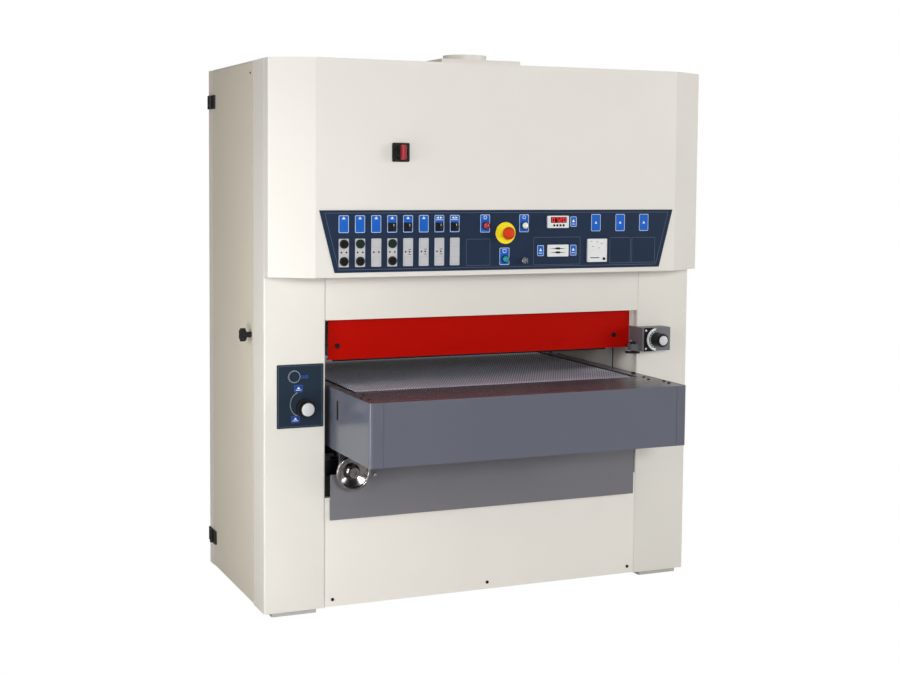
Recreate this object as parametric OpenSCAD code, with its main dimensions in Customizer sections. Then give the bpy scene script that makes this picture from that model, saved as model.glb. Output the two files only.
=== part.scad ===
// Wide belt sander with a rising conveyor table, one cantilevered sanding head and an overhead control cabinet.
// X runs across the machine, Y from infeed to outfeed, Z up; the origin is on the floor under the middle.

/* [Body] */
// Width over the side columns
machine_w = 1666; // [1500:1:1800]
// Height of the roof above the floor
body_h = 1900; // [1850:1:2000]
// Depth of the body from column front to rear panel
body_depth = 745; // [700:1:850]
// Width of the work opening between the columns
opening_w = 1230; // [1200:1:1300]
// Thickness of the sheet steel covers
sheet = 3; // [2:0.5:4]
// Outer bend radius of the column edges
bend_r = 6; // [4:0.5:10]
// Height of the floor pads
pad_h = 14; // [8:1:30]
// Side length of a floor pad
pad_w = 160; // [100:1:180]
// Depth of the column box
column_depth = 135; // [120:1:160]
// Depth of the column's inner cheek
cheek_depth = 178; // [165:1:190]
// Width of the rear corner strip
rear_strip = 55; // [40:1:80]

/* [Overhead cabinet] */
// Underside of the overhead cabinet
cabinet_z = 1172; // [1150:1:1250]
// Reach of the cabinet's side walls ahead of the columns
cabinet_side = 49; // [30:1:80]
// Width of the corner chamfer
chamfer_x = 141; // [100:1:200]
// Depth of the corner chamfer
chamfer_y = 76; // [50:1:100]
// Lower edge of the upper front panel
opening_top = 1017; // [1000:1:1050]
// Upper edge of the lower front panel
opening_bottom = 400; // [300:1:410]

/* [Table] */
// Height of the feed belt's surface at rest
table_z = 786; // [770:1:800]
// Reach of the table ahead of the columns
infeed_reach = 385; // [350:1:450]
// Reach of the table behind the rear panel
outfeed_reach = 170; // [150:1:250]
// Width of the table fairing
fairing_w = 1187; // [1180:1:1195]
// Height of the table fairing
fairing_h = 213; // [190:1:230]
// Corner radius of the fairing
fairing_r = 12; // [6:1:20]
// Width of the feed belt
feed_belt_w = 1064; // [900:1:1070]
// Sideways place of the feed belt
feed_belt_x = -11; // [-15:1:5]
// Thickness of the feed belt
feed_belt_t = 4; // [3:0.5:6]
// Radius of the feed rollers
feed_roller_r = 60; // [50:1:64]
// Infeed roller axis ahead of the columns
idler_ahead = 92; // [80:1:110]
// Radius of the feed roller shafts
feed_shaft_r = 15; // [12:0.5:18]
// Lower edge of the table skirt
skirt_z = 324; // [310:1:340]
// Thickness of the table's side plates
side_plate = 12; // [8:1:16]
// Radius of a lift screw
screw_r = 15; // [12:0.5:18]

/* [Sanding head] */
// Height of the abrasive belt's lowest line
pass_z = 858; // [855:1:865]
// Width of the abrasive belt
abrasive_w = 1080; // [1000:1:1090]
// Thickness of the abrasive belt
abrasive_t = 2; // [1.5:0.5:3]
// Radius of the contact drum
drum_r = 110; // [100:1:120]
// Radius of the tension roller
tension_r = 80; // [70:1:90]
// Distance between drum and tension roller axes
head_span = 655; // [620:1:700]
// Sanding head axis behind the column front
head_y = 300; // [290:1:320]
// Radius of the drum shaft
drum_shaft_r = 25; // [20:1:30]
// Radius of the drum pulley
drum_pulley_r = 75; // [65:1:90]
// Radius of the motor pulley
motor_pulley_r = 60; // [50:1:75]
// Motor axis behind the head axis
motor_dy = 260; // [240:1:280]
// Motor axis above the drum axis
motor_dz = 386; // [350:1:420]
// Radius of the motor body
motor_r = 105; // [90:1:120]
// Radius of a pressure roller
pressure_r = 30; // [25:1:35]
// Distance of a pressure roller from the head axis
pressure_dy = 170; // [165:1:180]

/* [Door and guard] */
// Thickness of the side door tray
door_t = 24; // [18:1:30]
// Height of a door hinge
hinge_h = 50; // [40:1:70]
// Depth of the right cover tray
cover_t = 15; // [10:1:20]
// Lower edge of the infeed guard
guard_z = 876; // [870:1:890]
// Width of the infeed guard
guard_w = 1192; // [1180:1:1200]
// Outer radius of the dust collar
collar_r = 80; // [60:1:100]
// Height of the dust collar's rim above the roof
collar_h = 54; // [45:1:120]

/* [Controls] */
// Diameter of a push button
button_d = 30; // [24:1:32]
// Spacing of the starter plates
starter_pitch = 57.6; // [50:0.1:60]
// Diameter of the emergency stop collar
stop_d = 76; // [60:1:80]
// Diameter of the emergency stop mushroom
mushroom_d = 44; // [38:1:50]
// Diameter of the speed knob
speed_knob_d = 66; // [50:1:80]
// Diameter of the dial knob
dial_knob_d = 50; // [40:1:60]
// Diameter of the handwheel
handwheel_d = 126; // [100:1:130]

/* [Hidden] */
$fn = 64;
run_fit = 0.05;
gap = 0.5;
half_w = machine_w / 2;
half_open = opening_w / 2;
front_y = infeed_reach - (infeed_reach + body_depth + outfeed_reach) / 2;
rear_in = body_depth - rear_strip;
cab_y = -cabinet_side - chamfer_y;
drum_z = pass_z + abrasive_t + gap + drum_r;
tension_z = drum_z + head_span;
feed_z = table_z - feed_belt_t - gap - feed_roller_r;
feed_out_r = feed_roller_r + gap + feed_belt_t;
drive_y = body_depth + outfeed_reach - feed_out_r - 11;
plate_in = fairing_w / 2 - sheet - 13 - side_plate;
plate_out = plate_in + side_plate;
fairing_z = table_z - fairing_h;
screw_x = half_open - 115;
screw_y = [200, body_depth - 145];
rail_z = 440;
rail_h = 56;
screw_top = feed_z - feed_out_r - 100;
beam_top = pad_h + 80;
motor_y = head_y + motor_dy;
motor_z = drum_z + motor_dz;
wall_t = 25;
tray_d = 22;
pulley_x = half_open + wall_t + 40;
pulley_w = 44;
belt_gap = 0.4;
panel_y = cab_y - sheet;
panel_top = cabinet_z + 225;
panel_low = cabinet_z + 16;
panel_half_top = half_w - 153;
panel_half_low = half_w - 207;
starter_x = 238.3 - half_w;
starter_z = cabinet_z + 82.5;
starter_size = [35, 95];
plate_face = panel_y - sheet;
button_z = [cabinet_z + 112.4, cabinet_z + 54];
selector_z = cabinet_z + 168;
stop_x = 2;
stop_z = cabinet_z + 144.5;
key_x = 77;
key_z = cabinet_z + 47;
isolator_x = -392;
isolator_z = body_h - 308;
lamp_places = [[-73.5, cabinet_z + 171], [76.6, cabinet_z + 170], [2, cabinet_z + 53]];
display_place = [206, cabinet_z + 182.5, 84, 43];
gauge_place = [207.5, cabinet_z + 80.5, 83, 42];
timer_place = [364.5, cabinet_z + 79.5, 78, 83];
side_panel_lo = [-half_open - 173, 652];
side_panel_hi = [-half_open - 8, 870];
speed_x = -half_open - 74;
speed_z = 718.5;
meter_x = -half_open - 112.6;
meter_z = 828.7;
bracket_lo = [half_open - 8, -60, pass_z + 10];
bracket_hi = [half_open + 108, 0, pass_z + 97];
dial_x = half_open + 50;
dial_z = pass_z + 53;
feeler_x = half_open - 27;
feeler_y = -15;
feeler_z = pass_z;
stem_r = 5;
hinge_x = -half_w - 8;
hinge_y = rear_in + 1;
hinge_z = [128, body_h - 119];
hinge_pin_r = 3;
barrel_r = 7.5;
knob_y = 158;
knob_z = 960;
stud_r = 4;
wheel_x = 80 - half_open;
wheel_y = -70;
wheel_z = 497;
wheel_shaft_r = 8;
dust_y = 235;
cream = "#E3E0DA";
grey = "#66686F";
navy = "#2A3347";
dark = "#1C1D20";
steel = "#B4B8BC";

// Places the children in the frame whose Y starts at the column front
module at_front() { translate([0, front_y, 0]) children(); }
// Box from one corner to the other
module block(from, to) { translate(from) cube(to - from); }
// Cylinders along the three axes, from a point
module rod_x(from, r, len) { translate(from) rotate([0, 90, 0]) cylinder(r = r, h = len); }
module rod_y(from, r, len) { translate(from) rotate([-90, 0, 0]) cylinder(r = r, h = len); }
module rod_z(from, r, len) { translate(from) cylinder(r = r, h = len); }
// Rectangular hollow sections along X, Y and Z, open at both ends
module tube_x(from, to, wall) {
    difference() {
        block(from, to);
        block([from.x - 1, from.y + wall, from.z + wall], [to.x + 1, to.y - wall, to.z - wall]);
    }
}
module tube_y(from, to, wall) {
    difference() {
        block(from, to);
        block([from.x + wall, from.y - 1, from.z + wall], [to.x - wall, to.y + 1, to.z - wall]);
    }
}
module tube_z(from, to, wall) {
    difference() {
        block(from, to);
        block([from.x + wall, from.y + wall, from.z - 1], [to.x - wall, to.y - wall, to.z + 1]);
    }
}
// Rectangle with its corners rounded
module soft_rect(from, to, r) {
    translate([from.x + r, from.y]) square([to.x - from.x - 2 * r, to.y - from.y]);
    translate([from.x, from.y + r]) square([to.x - from.x, to.y - from.y - 2 * r]);
    for (x = [from.x + r, to.x - r], y = [from.y + r, to.y - r]) translate([x, y]) circle(r);
}
// Plate with rounded corners standing on a face that looks along -Y
module face_plate(centre, size, y, t, r) {
    translate([0, y, 0]) rotate([90, 0, 0]) linear_extrude(t)
        soft_rect([centre.x - size.x / 2, centre.y - size.y / 2], [centre.x + size.x / 2, centre.y + size.y / 2], r);
}
// Points of a belt's path round two pulleys, the first at the origin and the second at place
function belt_points(r1, r2, place) =
    let (turn = atan2(place.y, place.x), a = asin((r1 - r2) / norm(place)), n = 36)
    concat([for (i = [0 : n]) let (t = turn + 90 - a + i * (180 + 2 * a) / n) r1 * [cos(t), sin(t)]],
        [for (i = [0 : n]) let (t = turn - 90 + a + i * (180 - 2 * a) / n) place + r2 * [cos(t), sin(t)]]);
// Closed belt in the YZ plane round an axis point, from x0 with the width w
module belt_loop(x0, w, axis, r1, r2, place, t) {
    translate([x0, axis.x, axis.y]) rotate([90, 0, 90]) linear_extrude(w) difference() {
        polygon(belt_points(r1 + t, r2 + t, place));
        polygon(belt_points(r1, r2, place));
    }
}
// Tubular roller along X, centred, with pierced end discs and a through shaft of radius shaft_r
module hollow_roller(r, len, wall, disc, shaft_r) {
    pierce_r = (r - wall - shaft_r) / 4;
    ring_r = (r - wall + shaft_r) / 2;
    difference() {
        rod_x([-len / 2, 0, 0], r, len);
        rod_x([-len / 2 + disc, 0, 0], r - wall, len - 2 * disc);
        for (a = [0 : 60 : 300]) rotate([a, 0, 0]) rod_x([-len / 2 - 1, 0, ring_r], pierce_r, len + 2);
    }
}

// Welded frame: floor beams, posts, walls, cross beams and the cantilever beam of the sanding head
module main_frame() {
    wall_y = [cheek_depth + 2, rear_in - 2];
    post_y = rear_in - 50;
    top_z = body_h - sheet - 7;
    bar_h = 80;
    bar_z = opening_top + 13;
    bar_y = 31;
    arm_x = abrasive_w / 2 + 8;
    end_x = abrasive_w / 2 + 6;
    beam_low_gap = 70;
    beam_top_gap = 95;
    color(cream) at_front() difference() {
        union() {
            for (s = [0, 1]) mirror([s, 0, 0]) {
                tube_y([half_open, cheek_depth + 2, pad_h], [half_w - 28, rear_in - 2, beam_top], 6);
                tube_z([half_open + 45, post_y, beam_top], [half_w - 33, rear_in - 2, top_z], 5);
                block([arm_x, 70, pass_z + 16], [arm_x + 12, head_y - pressure_dy + 25, bar_z]);
                block([arm_x, head_y + pressure_dy - 25, pass_z + 16], [arm_x + 12, head_y + pressure_dy + 30, bar_z + bar_h]);
                block([arm_x, head_y + pressure_dy + 30, bar_z], [arm_x + 12, post_y, bar_z + bar_h]);
                block([end_x, head_y - 45, drum_z], [end_x + 20, head_y + 45, tension_z]);
                for (z = [drum_z, tension_z]) rod_x([end_x, head_y, z], 45, 20);
            }
            for (y = screw_y) tube_x([-half_open, y - 45, pad_h], [half_open, y + 45, beam_top], 6);
            block([half_open, wall_y[0], beam_top], [half_open + wall_t, wall_y[1], body_h - 100]);
            block([-half_open - wall_t, wall_y[0], beam_top], [-half_open, wall_y[1], table_z + 34]);
            for (z = [bar_z, top_z - bar_h]) {
                tube_x([-half_open, bar_y, z], [half_open, bar_y + 80, z + bar_h], 5);
                tube_x([-half_open - 45, post_y, z], [half_open + 45, rear_in - 2, z + bar_h], 5);
            }
            tube_x([-end_x, head_y - 50, drum_z + drum_r + beam_low_gap], [half_open, head_y + 50, tension_z - tension_r - beam_top_gap], 10);
        }
        for (s = [-1, 1]) {
            rod_x([s * (end_x + 10) - 30, head_y, drum_z], drum_shaft_r + run_fit, 60);
            rod_x([s * (end_x + 10) - 30, head_y, tension_z], 20 + run_fit, 60);
            for (d = [-pressure_dy, pressure_dy])
                rod_x([s * (arm_x + 6) - 20, head_y + d, pass_z - 1 + pressure_r], 10 + run_fit, 40);
        }
        rod_x([half_open - 1, head_y, drum_z], drum_shaft_r + 6, wall_t + 2);
        rod_x([half_open - 1, motor_y, motor_z], 24, wall_t + 2);
        for (x = [-screw_x, screw_x], y = screw_y) rod_z([x, y, beam_top - 7], screw_r - 3 + run_fit, 8);
    }
}

// Steel plates that the machine stands on, under the column and rear corners
module floor_pads() {
    inset = 29;
    color(dark) at_front() for (s = [0, 1], y = [5, rear_in - pad_w - 10]) mirror([s, 0, 0])
        linear_extrude(pad_h) soft_rect([half_w - inset - pad_w, y], [half_w - inset, y + pad_w], 6);
}

// Folded sheet steel post with an inner cheek and a rebate for the side cover
module column_post() {
    color(cream) at_front() difference() {
        union() {
            translate([0, 0, pad_h]) linear_extrude(body_h - sheet - pad_h) difference() {
                soft_rect([half_open, 0], [half_w, column_depth], bend_r);
                soft_rect([half_open + sheet, sheet], [half_w - sheet, column_depth - sheet], bend_r - sheet);
            }
            block([half_open, column_depth - bend_r, pad_h], [half_open + sheet, cheek_depth, body_h - sheet]);
            block([half_w - door_t - 2 - sheet, column_depth, pad_h], [half_w - door_t - 2, knob_y + 17, body_h - sheet]);
        }
        rod_x([half_w - door_t - 20, knob_y, knob_z], stud_r + 3, 40);
    }
}
module left_column() { mirror([1, 0, 0]) column_post(); }
module right_column() { column_post(); }

// Tray panel that closes the front between the columns
module front_tray(z0, z1) {
    color(cream) at_front() difference() {
        block([-half_open, 0, z0], [half_open, tray_d, z1]);
        block([-half_open + sheet, sheet, z0 + sheet], [half_open - sheet, tray_d + 1, z1 - sheet]);
    }
}
module lower_front_panel() { front_tray(pad_h + 2, opening_bottom); }
module upper_front_panel() { front_tray(opening_top, cabinet_z); }

// Overhead cabinet with chamfered corners, a sheet shell open at the back
module cabinet_outline(t) {
    polygon([[-half_w + t, 1], [-half_w + t, -cabinet_side], [-half_w + chamfer_x + t / 2, cab_y + t],
        [half_w - chamfer_x - t / 2, cab_y + t], [half_w - t, -cabinet_side], [half_w - t, 1]]);
}
module control_cabinet() {
    color(cream) at_front() difference() {
        translate([0, 0, cabinet_z]) linear_extrude(body_h - cabinet_z) cabinet_outline(0);
        translate([0, 0, cabinet_z + sheet]) linear_extrude(body_h - cabinet_z - 2 * sheet) cabinet_outline(sheet);
        block([-half_w - 1, 0, cabinet_z - 1], [half_w + 1, 2, body_h + 1]);
    }
}

// Roof sheet with the extraction hole
module roof_plate() {
    color(cream) at_front() difference() {
        block([-half_w, 0, body_h - sheet], [half_w, body_depth, body_h]);
        rod_z([0, dust_y, body_h - sheet - 1], collar_r - sheet, sheet + 2);
    }
}

// Rear sheet with the outfeed opening and side returns
module rear_panel() {
    color(cream) at_front() difference() {
        block([-half_w, rear_in, pad_h], [half_w, body_depth, body_h - sheet]);
        block([-half_w + sheet, rear_in - 1, pad_h - 1], [half_w - sheet, body_depth - sheet, body_h]);
        block([-half_open, rear_in, 470], [half_open, body_depth + 1, 1000]);
    }
}

// Screwed tray over the drive side
module right_side_cover() {
    color(cream) at_front() difference() {
        block([half_w, column_depth - 15, pad_h + 6], [half_w + cover_t, rear_in + 15, body_h - 10]);
        block([half_w - 1, column_depth - 15 + sheet, pad_h + 6 + sheet],
            [half_w + cover_t - sheet, rear_in + 15 - sheet, body_h - 10 - sheet]);
    }
}

// Extraction hood on the roof with its round hose collar
module dust_outlet() {
    base = [310, 300, 30];
    color(cream) at_front() translate([0, dust_y, body_h]) difference() {
        union() {
            translate([-base.x / 2, -base.y / 2, 0]) cube(base);
            cylinder(r = collar_r, h = collar_h);
        }
        translate([-base.x / 2 + sheet, -base.y / 2 + sheet, -1]) cube([base.x - 2 * sheet, base.y - 2 * sheet, base.z + 1 - sheet]);
        translate([0, 0, -1]) cylinder(r = collar_r - sheet, h = collar_h + 2);
    }
}

// Red guard plate across the infeed opening, bolted to the front cross beam
module infeed_guard() {
    guard_t = 4;
    guard_y = 31 - guard_t;
    color("#B5140A") at_front() {
        block([-guard_w / 2, guard_y, guard_z], [guard_w / 2, guard_y + guard_t, opening_top + 45]);
        block([-guard_w / 2, guard_y + guard_t, guard_z], [guard_w / 2, guard_y + 19, guard_z + guard_t]);
    }
}

// Navy control plate with the holes of its switches
module operator_panel() {
    color(navy) at_front() difference() {
        translate([0, cab_y, 0]) rotate([90, 0, 0]) linear_extrude(sheet)
            polygon([[-panel_half_low, panel_low], [panel_half_low, panel_low], [panel_half_top, panel_top],
                [-panel_half_top, panel_top]]);
        for (i = [3, 4, 6, 7]) rod_y([starter_x + i * starter_pitch, panel_y - 1, selector_z], 5 + run_fit, sheet + 2);
        rod_y([key_x, panel_y - 1, key_z], 7 + run_fit, sheet + 2);
    }
}

// Starter plates, three of them with the bezels of two push buttons
module starter_plates() {
    color("#C8C8CC") at_front() difference() {
        union() for (i = [0 : 7]) {
            face_plate([starter_x + i * starter_pitch, starter_z], starter_size, panel_y, sheet, 3);
            if (i == 0 || i == 1 || i == 3) for (z = button_z)
                rod_y([starter_x + i * starter_pitch, plate_face - 4, z], button_d / 2, 5);
        }
        for (i = [0, 1, 3], z = button_z)
            rod_y([starter_x + i * starter_pitch, plate_face - 5, z], button_d / 2 - 4 + run_fit, 9);
    }
}
module push_button(i, row) {
    color(dark) at_front() rod_y([starter_x + i * starter_pitch, plate_face - 7, button_z[row]], button_d / 2 - 4, 6.8);
}
module button_1() { push_button(0, 0); }
module button_2() { push_button(0, 1); }
module button_3() { push_button(1, 0); }
module button_4() { push_button(1, 1); }
module button_5() { push_button(3, 0); }
module button_6() { push_button(3, 1); }

// Pilot lamps, stop collar, key barrel and isolator plate
module panel_fittings() {
    color("#FFD800") at_front() {
        difference() {
            union() {
                rod_y([stop_x, panel_y - 3, stop_z], stop_d / 2, 3);
                rod_y([stop_x, panel_y - 15, stop_z], 15, 15);
            }
            rod_y([stop_x, panel_y - 16, stop_z], 8 + run_fit, 17);
        }
        for (p = lamp_places) translate([p.x, panel_y, p.y]) rotate([90, 0, 0]) rotate_extrude()
            polygon([[0, 0], [14, 0], [14, 5], [11.5, 6], [11.5, 10], [9, 13], [0, 14]]);
        difference() {
            rod_y([key_x, panel_y - 6, key_z], 11, 6);
            rod_y([key_x, panel_y - 7, key_z], 7 + run_fit, 8);
        }
        difference() {
            face_plate([isolator_x, isolator_z], [70, 70], cab_y, 6, 5);
            rod_y([isolator_x, cab_y - 7, isolator_z], 6 + run_fit, 6);
        }
    }
}

// Flush panel instruments with raised bezels
module instrument(p, t) {
    difference() {
        face_plate([p[0], p[1]], [p[2], p[3]], panel_y, t, 3);
        face_plate([p[0], p[1]], [p[2] - 8, p[3] - 8], panel_y - t + 1.5, 3, 2);
    }
}
module panel_instruments() {
    color("#E8E8EA") at_front() {
        instrument(display_place, 7);
        instrument(gauge_place, 5);
        instrument(timer_place, 8);
    }
}

// Small control plate on the left column with a round meter bezel
module side_panel() {
    centre = (side_panel_lo + side_panel_hi) / 2;
    color(navy) at_front() difference() {
        union() {
            face_plate(centre, side_panel_hi - side_panel_lo, 0, sheet, 3);
            rod_y([meter_x, -sheet - 4, meter_z], 22, 5);
        }
        rod_y([meter_x, -sheet - 5, meter_z], 18, 4);
        rod_y([speed_x, -sheet - 1, speed_z], 6 + run_fit, sheet + 2);
    }
}

// Bracket of the thickness dial on the right column, with the arm that guides the feeler
module gauge_bracket() {
    color(grey) at_front() difference() {
        union() {
            difference() {
                block(bracket_lo, bracket_hi);
                block(bracket_lo + [sheet, sheet, sheet], bracket_hi + [-sheet, 1, -sheet]);
            }
            block([bracket_lo.x - 4, bracket_lo.y, bracket_lo.z], [bracket_lo.x, 44, bracket_hi.z]);
            block([feeler_x - 14, feeler_y - 14, bracket_lo.z], [bracket_lo.x - 4, feeler_y + 14, bracket_lo.z + 24]);
        }
        rod_y([dial_x, bracket_lo.y - 1, dial_z], 6 + run_fit, sheet + 2);
        rod_z([feeler_x, feeler_y, bracket_lo.z - 1], stem_r + run_fit, 26);
    }
}

// Sanding motor with cooling ribs, fan cowl, terminal box and flange
module main_motor() {
    body_x = 215;
    flange_x = half_open - 25;
    color("#4A5058") at_front() translate([0, motor_y, motor_z]) difference() {
        union() {
            rod_x([body_x, 0, 0], motor_r, flange_x - body_x);
            rod_x([flange_x, 0, 0], motor_r + 35, 25);
            rod_x([body_x - 55, 0, 0], motor_r + 6, 60);
            for (a = [0 : 15 : 345]) rotate([a, 0, 0]) block([body_x + 4, -2, motor_r - 4], [flange_x - 4, 2, motor_r + 10]);
            block([body_x + 110, -45, motor_r - 10], [body_x + 230, 45, motor_r + 48]);
        }
        rod_x([flange_x - 40, 0, 0], 19 + run_fit, 80);
    }
}

// Abrasive belt round the contact drum and the tension roller
module sanding_belt() {
    color("#7A3B22") at_front()
        belt_loop(-abrasive_w / 2, abrasive_w, [head_y, drum_z], drum_r + gap, tension_r + gap, [0, head_span], abrasive_t);
}

// Flat drive belt from the motor to the drum
module drive_belts() {
    color(dark) at_front()
        belt_loop(pulley_x + 2, pulley_w - 4, [head_y, drum_z], drum_pulley_r + belt_gap, motor_pulley_r + belt_gap,
            [motor_dy, motor_dz], 8);
}

// Frame halves of the door hinges, each with its pin
module hinge_frame_halves() {
    h = hinge_h / 2;
    color(dark) at_front() for (z = hinge_z) translate([0, 0, z]) {
        rod_z([hinge_x, hinge_y, -h], barrel_r, h - 0.2);
        block([hinge_x, hinge_y, -h], [-half_w - 0.5, hinge_y + 10, -0.2]);
        block([-half_w - 6, hinge_y + 10, -h], [-half_w, body_depth - 2, h]);
        rod_z([hinge_x, hinge_y, -1], hinge_pin_r, h + 1);
    }
}
module hinge_door_halves() {
    h = hinge_h / 2;
    color(dark) at_front() for (z = hinge_z) translate([0, 0, z]) difference() {
        union() {
            rod_z([hinge_x, hinge_y, 0.2], barrel_r, h - 0.2);
            block([hinge_x, hinge_y - 10, 0.2], [-half_w - 0.5, hinge_y, h]);
            block([-half_w - 6, hinge_y - 46, -h], [-half_w, hinge_y - 10, h]);
        }
        rod_z([hinge_x, hinge_y, -1], hinge_pin_r + run_fit, h + 2);
    }
}

// Tray door for changing the belt, with the boss of its knob
module side_door() {
    y0 = column_depth + 3;
    y1 = rear_in - 2;
    top = body_h - sheet - 1;
    color(cream) at_front() difference() {
        union() {
            difference() {
                block([-half_w, y0, pad_h + 4], [-half_w + door_t, y1, top]);
                block([-half_w + sheet, y0 + sheet, pad_h + 4 + sheet], [-half_w + door_t + 1, y1 - sheet, top - sheet]);
            }
            rod_x([-half_w + 1, knob_y, knob_z], 12, door_t - 1);
        }
        rod_x([-half_w - 1, knob_y, knob_z], stud_r + run_fit, door_t + 2);
    }
}

// Lobed clamping knob with its stud
module side_door_knob() {
    color(dark) at_front() translate([-half_w, knob_y, knob_z]) {
        difference() {
            rod_x([-38, 0, 0], 23, 17);
            for (a = [30 : 60 : 330]) rotate([a, 0, 0]) rod_x([-39, 0, 26], 7, 19);
        }
        rod_x([-22, 0, 0], 10, 21.7);
        rod_x([-10, 0, 0], stud_r, door_t + 18);
    }
}

// Lift gearmotor with its sprocket and the chain round the four screws
module lift_drive() {
    chain_z = beam_top + 14;
    chain_r = 41;
    drive_mid = (screw_y[0] + screw_y[1]) / 2;
    gear_z = chain_z + 22;
    gear_h = 110;
    color("#4A5058") at_front() {
        block([half_open - 110, drive_mid - 60, gear_z], [half_open, drive_mid + 60, gear_z + gear_h]);
        rod_z([half_open - 60, drive_mid, gear_z + gear_h], 52, 60);
        rod_z([half_open - 95, drive_mid, chain_z], 10, gear_z - chain_z + 8);
        rod_z([half_open - 95, drive_mid, chain_z], 18, 10);
        translate([0, 0, chain_z]) linear_extrude(10) difference() {
            soft_rect([-screw_x - chain_r - 6, screw_y[0] - chain_r - 6], [screw_x + chain_r + 6, screw_y[1] + chain_r + 6], chain_r + 6);
            soft_rect([-screw_x - chain_r, screw_y[0] - chain_r], [screw_x + chain_r, screw_y[1] + chain_r], chain_r);
        }
    }
}
module lift_screw(x, y) {
    color(steel) at_front() {
        rod_z([x, y, beam_top - 6], screw_r - 3, 8);
        rod_z([x, y, beam_top + 0.3], screw_r + 8, 10);
        rod_z([x, y, beam_top + 14], 40, 10);
        rod_z([x, y, beam_top + 5], screw_r, screw_top - beam_top - 5);
    }
}
module lift_screw_1() { lift_screw(-screw_x, screw_y[0]); }
module lift_screw_2() { lift_screw(screw_x, screw_y[0]); }
module lift_screw_3() { lift_screw(-screw_x, screw_y[1]); }
module lift_screw_4() { lift_screw(screw_x, screw_y[1]); }

// Conveyor frame: side plates, bed, cross tubes, lift rails with their nuts and the handwheel bearing
module table_frame() {
    plate_z = table_z - 6;
    under_z = plate_z - 140;
    rear_y = body_depth + outfeed_reach;
    bed_gap = feed_roller_r - 12;
    color("#3C4046") at_front() difference() {
        union() {
            for (s = [0, 1]) mirror([s, 0, 0]) {
                block([plate_in, -infeed_reach + 5, under_z], [plate_out, rear_y, plate_z]);
                for (y = screw_y) block([plate_in, y - 40, rail_z], [plate_out, y + 40, under_z]);
                for (y = [-300, 100, body_depth - 295]) block([plate_out, y, 690], [fairing_w / 2 - sheet, y + 40, 740]);
            }
            block([-feed_belt_w / 2 + 20, bed_gap - idler_ahead, feed_z + feed_roller_r - 14],
                [feed_belt_w / 2 - 30, drive_y - bed_gap, feed_z + feed_roller_r - 1]);
            for (y = [50, (drive_y - 79.5) / 2, drive_y - 139.5]) tube_x([-plate_in, y - 30, feed_z - 35], [plate_in, y + 30, feed_z + feed_roller_r - 14], 4);
            for (y = [-infeed_reach + 10, -infeed_reach + 150]) tube_x([-plate_in, y, plate_z - 60], [plate_in, y + 60, plate_z], 4);
            tube_x([-plate_in, -12, under_z - 40], [plate_in, 38, under_z], 4);
            block([-plate_in, -12, under_z - 40], [-plate_in + 8, 38, under_z + 8]);
            block([plate_in - 8, -12, under_z - 40], [plate_in, 38, under_z + 8]);
            for (y = screw_y) tube_x([-plate_out, y - 30, rail_z], [plate_out, y + 30, rail_z + rail_h], 5);
            for (x = [-screw_x, screw_x], y = screw_y) rod_z([x, y, rail_z - 10], 28, rail_h + 20);
            block([-plate_out, -50, wheel_z - 32], [wheel_x + 32, -30, under_z]);
        }
        for (y = [-idler_ahead, drive_y]) rod_x([-plate_out - 1, y, feed_z], feed_shaft_r + run_fit, 2 * plate_out + 2);
        for (x = [-screw_x, screw_x], y = screw_y) rod_z([x, y, rail_z - 11], screw_r + run_fit, rail_h + 22);
        rod_y([wheel_x, -51, wheel_z], wheel_shaft_r + run_fit, 22);
    }
}

// Folded grey fairing round the front of the table, with seams and a tension slot
module table_fairing() {
    half = fairing_w / 2;
    seam = 47;
    color(grey) at_front() difference() {
        translate([0, 0, fairing_z]) linear_extrude(fairing_h - 1) difference() {
            soft_rect([-half, -infeed_reach], [half, rear_in - 100 + fairing_r], fairing_r);
            soft_rect([-half + sheet, -infeed_reach + sheet], [half - sheet, body_depth], fairing_r - sheet);
            translate([-half - 1, rear_in - 100]) square([2 * half + 2, body_depth]);
        }
        block([-half - 1, -70, fairing_z + 111], [-half + sheet + 1, -64, fairing_z + 178]);
        for (x = [-half + seam, half - seam + 6])
            block([x, -infeed_reach - 1, fairing_z - 1], [x + 1.5, -infeed_reach + 1, table_z]);
    }
}

// Steel strips on the table: three across the infeed and one along each side
module table_strips() {
    z0 = table_z - 6;
    z1 = table_z - 1.5;
    half = fairing_w / 2 - sheet - 1;
    corner = fairing_r / 2;
    edges = [-infeed_reach + sheet + 1, -296, -151, -idler_ahead - 32];
    color(grey) at_front() {
        translate([0, 0, z0]) linear_extrude(z1 - z0) polygon([[-half, edges[1] - 3], [-half, edges[0] + corner],
            [-half + corner, edges[0]], [half - corner, edges[0]], [half, edges[0] + corner], [half, edges[1] - 3]]);
        for (i = [1, 2]) block([-half, edges[i], z0], [half, edges[i + 1] - 3, z1]);
        block([-half, edges[3], z0], [-plate_in + 5, rear_in - 105, z1]);
        block([feed_belt_w / 2 + 14, edges[3], z0], [half, rear_in - 105, z1]);
    }
}

// Apron under the fairing that closes the front below the table
module table_skirt() {
    half = half_open - 14;
    color("#6E6C72") at_front() difference() {
        union() {
            block([-half, -15, skirt_z], [half, -12, fairing_z - 2]);
            block([-plate_in, -15, fairing_z - 2], [plate_in, -12, table_z - 150]);
        }
        block([-half - 1, -16, wheel_z - 14], [wheel_x + 65, -11, table_z]);
    }
}

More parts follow.
